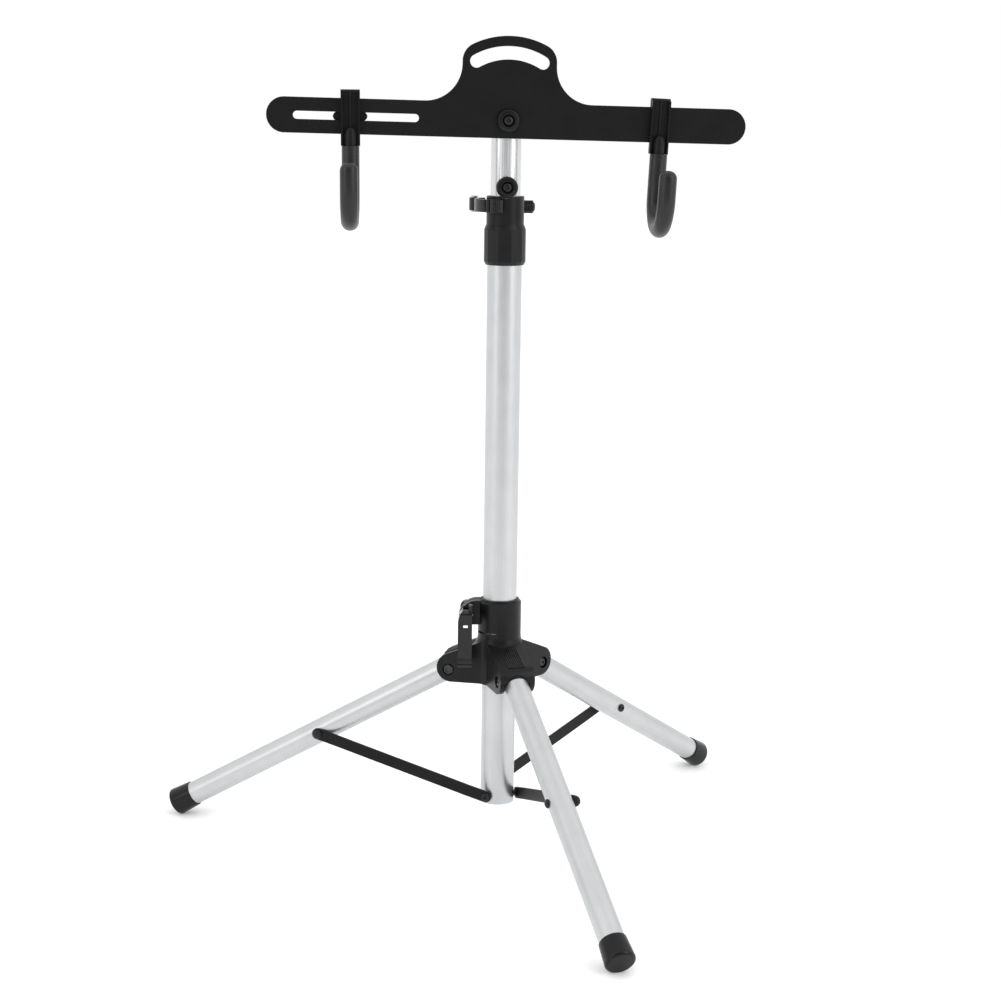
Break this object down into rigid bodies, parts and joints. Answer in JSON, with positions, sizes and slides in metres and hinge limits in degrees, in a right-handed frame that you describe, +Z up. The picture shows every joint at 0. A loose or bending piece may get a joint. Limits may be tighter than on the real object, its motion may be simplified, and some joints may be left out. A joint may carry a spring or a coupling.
{
  "type": "bike repair stand",
  "caption": "Folding bicycle repair stand: three-legged sliding-hub base, clamped telescopic mast and a tilting plate with handle slot and rubber-sleeved hooks.",
  "frame": {"origin": "middle of the stand as seen from above, on the floor under the feet", "axes": "+X along the hook plate to the right, +Y to the back, away from the hooks, +Z up the column"},
  "size_m": [0.6236, 0.6136, 0.8329],
  "materials": {
    "anodised_tube": "satin anodised, fine lengthwise grain",
    "bright_tube": "brighter anodised with lengthwise grooves",
    "black_mould": "moulded black nylon, fine texture",
    "black_coat": "matte black powder coat on steel",
    "hook_rubber": "dark grey dipped rubber",
    "foot_rubber": "smooth black rubber",
    "bright_steel": "zinc plated steel",
    "black_steel": "black zinc plated steel"
  },
  "bodies": {
    "column": {"main_tube": "anodised_tube", "column_bottom_plug": "black_mould", "upper_collar": "black_mould", "upper_clamp_bolt": "bright_steel", "brace_tube_screw_1": "black_steel", "brace_tube_screw_2": "black_steel", "brace_tube_screw_3": "black_steel"},
    "mast": {"inner_tube": "bright_tube", "inner_tube_cap": "black_mould", "inner_tube_guide": "black_mould", "stop_bolt": "black_steel", "stop_bolt_cap": "black_mould", "stop_bolt_nut": "bright_steel", "plate_saddle": "black_mould", "pivot_bolt": "black_steel", "pivot_bolt_cap": "black_mould", "pivot_bolt_nut": "bright_steel"},
    "head": {"hook_plate": "black_coat", "right_hook_bracket": "black_coat", "right_hook_rod": "bright_steel", "right_hook_sleeve": "hook_rubber", "right_hook_screw": "black_steel"},
    "left_hook": {"left_hook_bracket": "black_coat", "left_hook_rod": "bright_steel", "left_hook_sleeve": "hook_rubber", "left_hook_stud": "bright_steel"},
    "knob": {"hook_knob": "black_mould"},
    "upper_lever": {"upper_clamp_lever": "black_mould", "upper_lever_pin": "bright_steel"},
    "upper_nut": {"upper_clamp_nut": "black_steel"},
    "hub_carriage": {"hub": "black_mould", "hub_clamp_bolt": "bright_steel", "leg_pivot_bolt_1": "bright_steel", "leg_pivot_bolt_2": "bright_steel", "leg_pivot_bolt_3": "bright_steel", "leg_pivot_nut_1": "bright_steel", "leg_pivot_nut_2": "bright_steel", "leg_pivot_nut_3": "bright_steel"},
    "hub_lever": {"hub_clamp_lever": "black_mould", "hub_lever_pin": "bright_steel"},
    "hub_nut": {"hub_clamp_nut": "black_steel"},
    "leg_1": {"leg_tube_1": "anodised_tube", "leg_top_plug_1": "black_mould", "leg_foot_1": "foot_rubber", "leg_brace_bolt_1": "black_steel"},
    "strut_1": {"brace_1": "black_coat", "brace_nut_1": "black_steel"},
    "leg_2": {"leg_tube_2": "anodised_tube", "leg_top_plug_2": "black_mould", "leg_foot_2": "foot_rubber", "leg_brace_bolt_2": "black_steel"},
    "strut_2": {"brace_2": "black_coat", "brace_nut_2": "black_steel"},
    "leg_3": {"leg_tube_3": "anodised_tube", "leg_top_plug_3": "black_mould", "leg_foot_3": "foot_rubber", "leg_brace_bolt_3": "black_steel"},
    "strut_3": {"brace_3": "black_coat", "brace_nut_3": "black_steel"}
  },
  "joints": [
    {"name": "mast_slide", "type": "slide", "parent": "column", "child": "mast", "axis": [0, 0, 1], "range_m": [0, 0.35]},
    {"name": "plate_tilt", "type": "hinge", "parent": "mast", "child": "head", "pos_m": [0.03941, 0.04993, 0.7514], "axis": [0, 1, 0], "range_deg": [-30, 30]},
    {"name": "left_hook_slide", "type": "slide", "parent": "head", "child": "left_hook", "axis": [0.9999, 0, -0.014], "range_m": [-0.052, 0.06]},
    {"name": "hook_knob_turn", "type": "hinge", "parent": "left_hook", "child": "knob", "pos_m": [-0.11578, 0.04393, 0.75357], "axis": [0, 1, 0], "continuous": true},
    {"name": "upper_lever_swing", "type": "hinge", "parent": "column", "child": "upper_lever", "pos_m": [0.00999, 0.07419, 0.6683], "axis": [0, 0, -1], "range_deg": [0, 120]},
    {"name": "upper_nut_turn", "type": "hinge", "parent": "column", "child": "upper_nut", "pos_m": [0.06227, 0.06944, 0.666], "axis": [0.9959, -0.0906, 0], "continuous": true},
    {"name": "hub_slide", "type": "slide", "parent": "column", "child": "hub_carriage", "axis": [0, 0, 1], "range_m": [0, 0.2174]},
    {"name": "hub_lever_swing", "type": "hinge", "parent": "hub_carriage", "child": "hub_lever", "pos_m": [0.00264, 0.02988, 0.2515], "axis": [-0.9959, 0.0906, 0], "range_deg": [0, 120]},
    {"name": "hub_nut_turn", "type": "hinge", "parent": "hub_carriage", "child": "hub_nut", "pos_m": [0.00611, 0.06802, 0.2515], "axis": [0.0906, 0.9959, 0], "continuous": true},
    {"name": "leg_fold_1", "type": "hinge", "parent": "hub_carriage", "child": "leg_1", "pos_m": [0.07586, 0.08416, 0.1886], "axis": [-0.6845, 0.729, 0], "range_deg": [0, 60.3]},
    {"name": "strut_fold_1", "type": "hinge", "parent": "column", "child": "strut_1", "pos_m": [0.04546, 0.05561, 0.0535], "axis": [0.6845, -0.729, 0], "range_deg": [0, 61.6]},
    {"name": "leg_fold_2", "type": "hinge", "parent": "hub_carriage", "child": "leg_2", "pos_m": [-0.00846, 0.06438, 0.1886], "axis": [-0.289, -0.9573, 0], "range_deg": [0, 60.3]},
    {"name": "strut_fold_2", "type": "hinge", "parent": "column", "child": "strut_2", "pos_m": [0.03146, 0.05233, 0.0535], "axis": [0.289, 0.9573, 0], "range_deg": [0, 61.6]},
    {"name": "leg_fold_3", "type": "hinge", "parent": "hub_carriage", "child": "leg_3", "pos_m": [0.05083, 0.00125, 0.1886], "axis": [0.9736, 0.2284, 0], "range_deg": [0, 60.3]},
    {"name": "strut_fold_3", "type": "hinge", "parent": "column", "child": "strut_3", "pos_m": [0.0413, 0.04185, 0.0535], "axis": [-0.9736, -0.2284, 0], "range_deg": [0, 61.6]}
  ],
  "couplings": [
    {"joint": "leg_fold_1", "follows": "hub_slide", "rad_per_m": 4.8295},
    {"joint": "strut_fold_1", "follows": "hub_slide", "rad_per_m": 4.9317},
    {"joint": "leg_fold_2", "follows": "hub_slide", "rad_per_m": 4.8295},
    {"joint": "strut_fold_2", "follows": "hub_slide", "rad_per_m": 4.9317},
    {"joint": "leg_fold_3", "follows": "hub_slide", "rad_per_m": 4.8295},
    {"joint": "strut_fold_3", "follows": "hub_slide", "rad_per_m": 4.9317}
  ]
}
